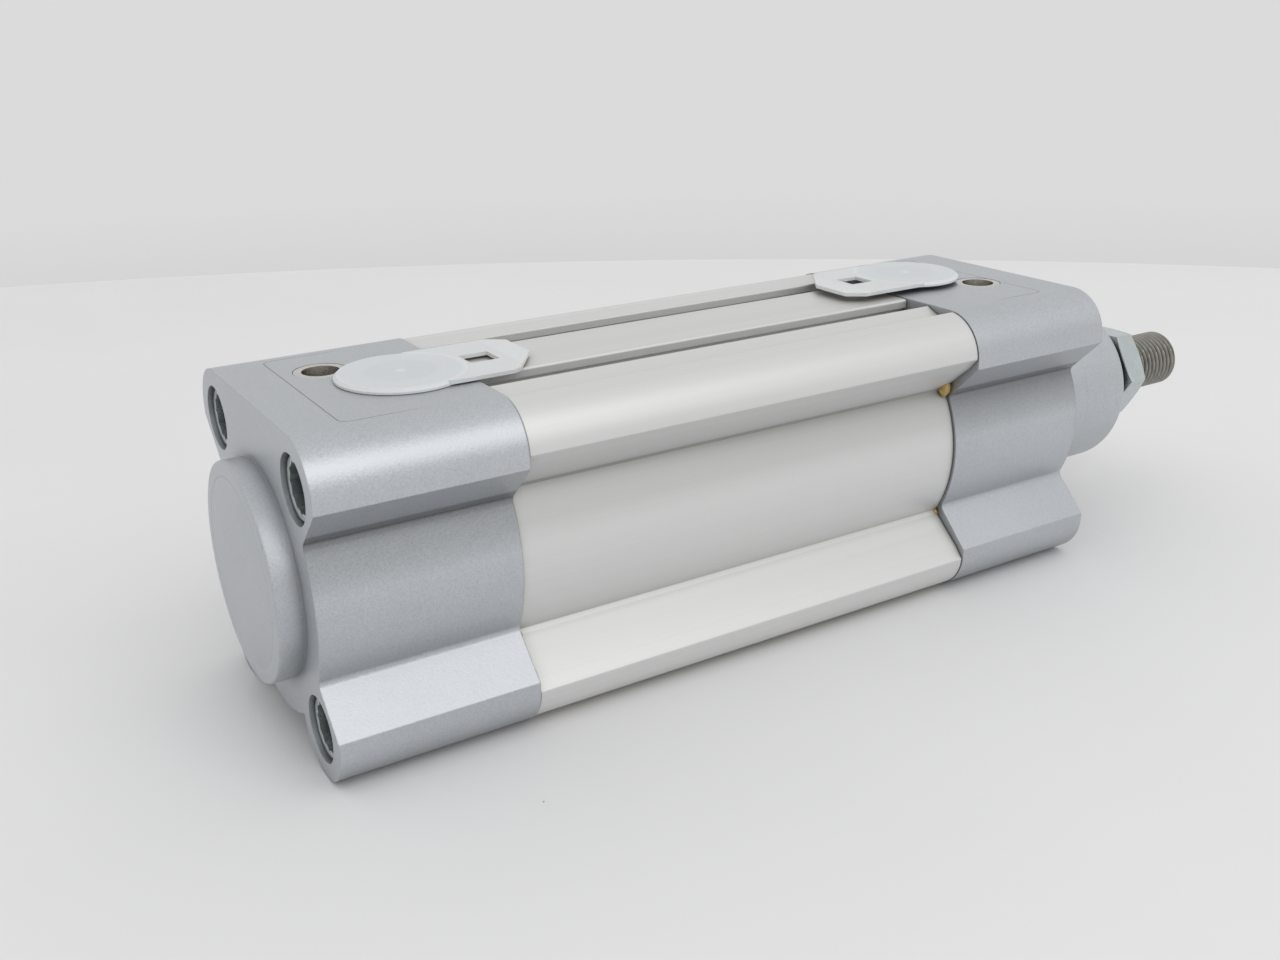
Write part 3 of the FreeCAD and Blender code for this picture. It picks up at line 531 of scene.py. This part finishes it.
def build_rod(materials):
    """Piston rod with its real helical thread, in place of the plain CAD rod."""
    low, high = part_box("piston_rod")
    start, tip = low.x, high.x
    seat_r, rod_r, neck_r, chamfer = 5 * MM, 8 * MM, 5.15 * MM, 0.7 * MM
    flat_half, hair = 6.5 * MM, 0.01 * MM
    shoulder, crest, pitch = tip - 24 * MM, 6 * MM, 1.25 * MM
    thread_start, thread_end = shoulder + 2.2 * MM, tip - 0.8 * MM
    nut_end, crest_in_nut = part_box("rod_nut")[1].x + 0.2 * MM, 5.8 * MM
    steps, around = 210, 96
    # Station and radius of each ring; a ring without a radius lies on the thread.
    rows = [(start, 0.0), (start, seat_r - 0.6 * MM), (start + 0.6 * MM, seat_r),
            (SEAT_END_X, seat_r), (SEAT_END_X, rod_r), (FLATS_X, rod_r),
            (FLATS_X + hair, rod_r), (shoulder - chamfer - hair, rod_r),
            (shoulder - chamfer, rod_r), (shoulder, rod_r - chamfer),
            (shoulder, neck_r), (shoulder + 1.6 * MM, neck_r)]
    flats = range(6, 10)
    for step in range(steps + 1):
        rows.append((thread_start + (thread_end - thread_start) * step / steps, None))
    rows += [(tip, 5.2 * MM), (tip, 0.0)]
    points = []
    for row, (x, radius) in enumerate(rows):
        for k in range(around):
            angle = 2 * math.pi * k / around
            r = radius
            if r is None:
                r = thread_radius(x, k / around, thread_start, thread_end, crest, pitch)
                if x < nut_end:
                    r = min(r, crest_in_nut)
            y, z = r * math.cos(angle), r * math.sin(angle)
            if row in flats:
                z = max(-flat_half, min(flat_half, z))
            points.append((x, y, z))
    rod = smooth_piece("threaded_rod", points, ring_faces(len(rows), around),
                       materials["chromed_rod"])
    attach(rod, "rod_and_piston")
    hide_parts("piston_rod")
    mark_sharp(rod, 35)


def edged_copy(frame, node, name, material, radius, limit):
    """A CAD piece rebuilt as clean faces with rounded edges, shown in the CAD piece's place."""
    mesh = bpy.data.meshes.new(name)
    clean = bmesh.new()
    clean.from_mesh(frame["nodes"][node].data)
    bmesh.ops.remove_doubles(clean, verts=clean.verts, dist=0.001 * MM)
    bmesh.ops.dissolve_limit(clean, angle_limit=math.radians(0.4), use_dissolve_boundaries=False,
                             verts=clean.verts, edges=clean.edges)
    clean.to_mesh(mesh)
    clean.free()
    for attribute in [a for a in mesh.attributes if a.name == "custom_normal"]:
        mesh.attributes.remove(attribute)
    for face in mesh.polygons:
        face.use_smooth = True
    mesh.materials.clear()
    mesh.materials.append(material)
    piece = linked(name, mesh)
    bevel = piece.modifiers.new("edges", "BEVEL")
    bevel.limit_method = "ANGLE"
    bevel.angle_limit = math.radians(limit)
    bevel.width = radius
    bevel.segments = 2
    bevel.use_clamp_overlap = True
    bevel.harden_normals = True
    mark_sharp(piece, limit)
    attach(piece, body_of(frame, node))
    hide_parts(node)


def build_plugs(frame):
    """The two transport plugs, each with its plastic placed about its own stem."""
    for node, tab_way in (("rear_port_plug", 1), ("front_port_plug", -1)):
        low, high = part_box(node)
        disc_edge = low.x if tab_way > 0 else high.x
        centre = (disc_edge + tab_way * PLUG_REACH, (low.y + high.y) / 2)
        edged_copy(frame, node, node.replace("port", "transport"),
                   plug_plastic(node, centre, tab_way), 0.22 * MM, 30)


def build_blob(name, centre, size, seed, material):
    """Small irregular drop of dried sealant; centre and half sizes in millimetres."""
    rng = random.Random(seed)
    rings, around = 8, 12
    points = []
    for ring in range(rings):
        polar = math.pi * ring / (rings - 1)
        for k in range(around):
            angle = 2 * math.pi * k / around
            swell = 1 + rng.uniform(-0.16, 0.16)
            way = (math.cos(polar), math.sin(polar) * math.cos(angle),
                   math.sin(polar) * math.sin(angle))
            points.append([(c + s * swell * w) * MM for c, s, w in zip(centre, size, way)])
    blob = smooth_piece(name, points, ring_faces(rings, around), material)
    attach(blob, "housing")


def build_residues():
    """Sealant at three of the joints between barrel and caps, on the near side."""
    glue = residue()
    build_blob("residue_front_upper", (121.6, -19.8, 12.7), (1.0, 1.2, 1.6), 3, glue)
    build_blob("residue_front_lower", (122.1, -19.2, -12.4), (0.4, 0.6, 0.6), 5, glue)
    build_blob("residue_rear_lower", (32.8, -19.6, -12.6), (0.4, 0.9, 0.7), 4, glue)


# -------------------------------------------------------------------- stage
CAMERA_AT = Vector((-0.0466, -0.18535, 0.08356))
CAMERA_FORWARD = Vector((0.48992, 0.79438, -0.35915))
CAMERA_RIGHT = Vector((0.8512, -0.5248, -0.0164))


def build_stage():
    """Round pale board under the object; the plain dome shows beyond its far rim."""
    floor_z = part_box("rear_cap")[0].z
    away = Vector((0.5249, 0.8512, 0.0))
    eye = Vector((-0.0466, -0.1853, floor_z))
    radius, far_rim, around = 0.95, 0.548, 180
    rim_round, thickness = 0.002, 0.018
    rings = [(0.0, 0.0), (0.3, 0.0), (0.6, 0.0), (radius - rim_round, 0.0),
             (radius, -rim_round), (radius, -thickness)]
    points, faces = [], []
    for reach, height in rings:
        for k in range(around):
            angle = 2 * math.pi * k / around
            points.append((reach * math.cos(angle), reach * math.sin(angle), height))
    for face in ring_faces(len(rings), around):
        a, b, b_out, a_out = face
        faces.append((a, a_out, b_out, b) if a >= around else (a, a_out, b_out))
    board = smooth_piece("board", points, faces, board_white())
    board.location = eye + away * (far_rim - radius)


def build_panel():
    """A big soft panel high up in front."""
    lamp = bpy.data.lights.new("key_panel", "AREA")
    lamp.shape = "RECTANGLE"
    lamp.size = 1.05
    lamp.size_y = 0.9
    lamp.energy = 3.6
    holder = bpy.data.objects.new("key_panel", lamp)
    holder.location = (0.24, -0.84, 0.86)
    aim = Vector((0.08, 0.0, 0.0)) - holder.location
    holder.rotation_euler = aim.to_track_quat("-Z", "Y").to_euler()
    holder.visible_camera = False
    bpy.context.scene.collection.objects.link(holder)


def build_dome():
    """An even pale dome, brightest overhead and a little darker below the horizon."""
    world = bpy.data.worlds.new("studio")
    world.use_nodes = True
    tree = world.node_tree
    place = tree.nodes.new("ShaderNodeTexCoord").outputs["Generated"]
    axes = tree.nodes.new("ShaderNodeSeparateXYZ")
    ramp = tree.nodes.new("ShaderNodeValToRGB")
    lift = tree.nodes.new("ShaderNodeMapRange")
    tree.links.new(place, axes.inputs[0])
    tree.links.new(axes.outputs[2], lift.inputs["Value"])
    lift.inputs["From Min"].default_value = -0.3
    lift.inputs["From Max"].default_value = 0.9
    tree.links.new(lift.outputs[0], ramp.inputs[0])
    # Share of the way up from the ramp's foot, and the grey there.
    tones = ((0.0, 0.62), (0.085, 0.66), (0.125, 0.705), (0.25, 0.71), (1.0, 0.84))
    stops = ramp.color_ramp.elements
    while len(stops) < len(tones):
        stops.new(0.5)
    for stop, (share, tone) in zip(stops, tones):
        stop.position = share
        stop.color = rgb(tone, tone, tone)
    background = tree.nodes["Background"]
    tree.links.new(ramp.outputs[0], background.inputs[0])
    background.inputs[1].default_value = 1.0
    bpy.context.scene.world = world


def build_camera():
    camera = bpy.data.cameras.new("camera")
    camera.sensor_width = 36.0
    camera.lens = 36.55
    camera.clip_start = 0.01
    holder = bpy.data.objects.new("camera", camera)
    forward = CAMERA_FORWARD.normalized()
    up = CAMERA_RIGHT.normalized().cross(forward).normalized()
    right = forward.cross(up)
    turn = Matrix((right, up, -forward)).transposed()
    holder.matrix_world = Matrix.Translation(CAMERA_AT) @ turn.to_4x4()
    bpy.context.scene.collection.objects.link(holder)
    bpy.context.scene.camera = holder


def dress(frame, materials):
    """Give every carried-over CAD piece the finish of its slot."""
    for entry in frame["record"]["subparts"]:
        if entry["material_slot"] in materials:
            cad_materials = frame["nodes"][entry["node"]].data.materials
            cad_materials.clear()
            cad_materials.append(materials[entry["material_slot"]])


def main():
    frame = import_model()
    materials = slot_materials()
    dress(frame, materials)
    build_plugs(frame)
    build_rod(materials)
    edged_copy(frame, "barrel", "barrel_extrusion", materials["anodised_aluminium"], 0.22 * MM, 14)
    edged_copy(frame, "rear_cap", "rear_cap_casting", materials["cap_paint"], 0.35 * MM, 24)
    edged_copy(frame, "front_cap", "front_cap_casting", materials["cap_paint"], 0.35 * MM, 24)
    build_residues()
    build_stage()
    build_panel()
    build_dome()
    build_camera()
    bpy.context.scene.view_settings.view_transform = "Standard"


main()
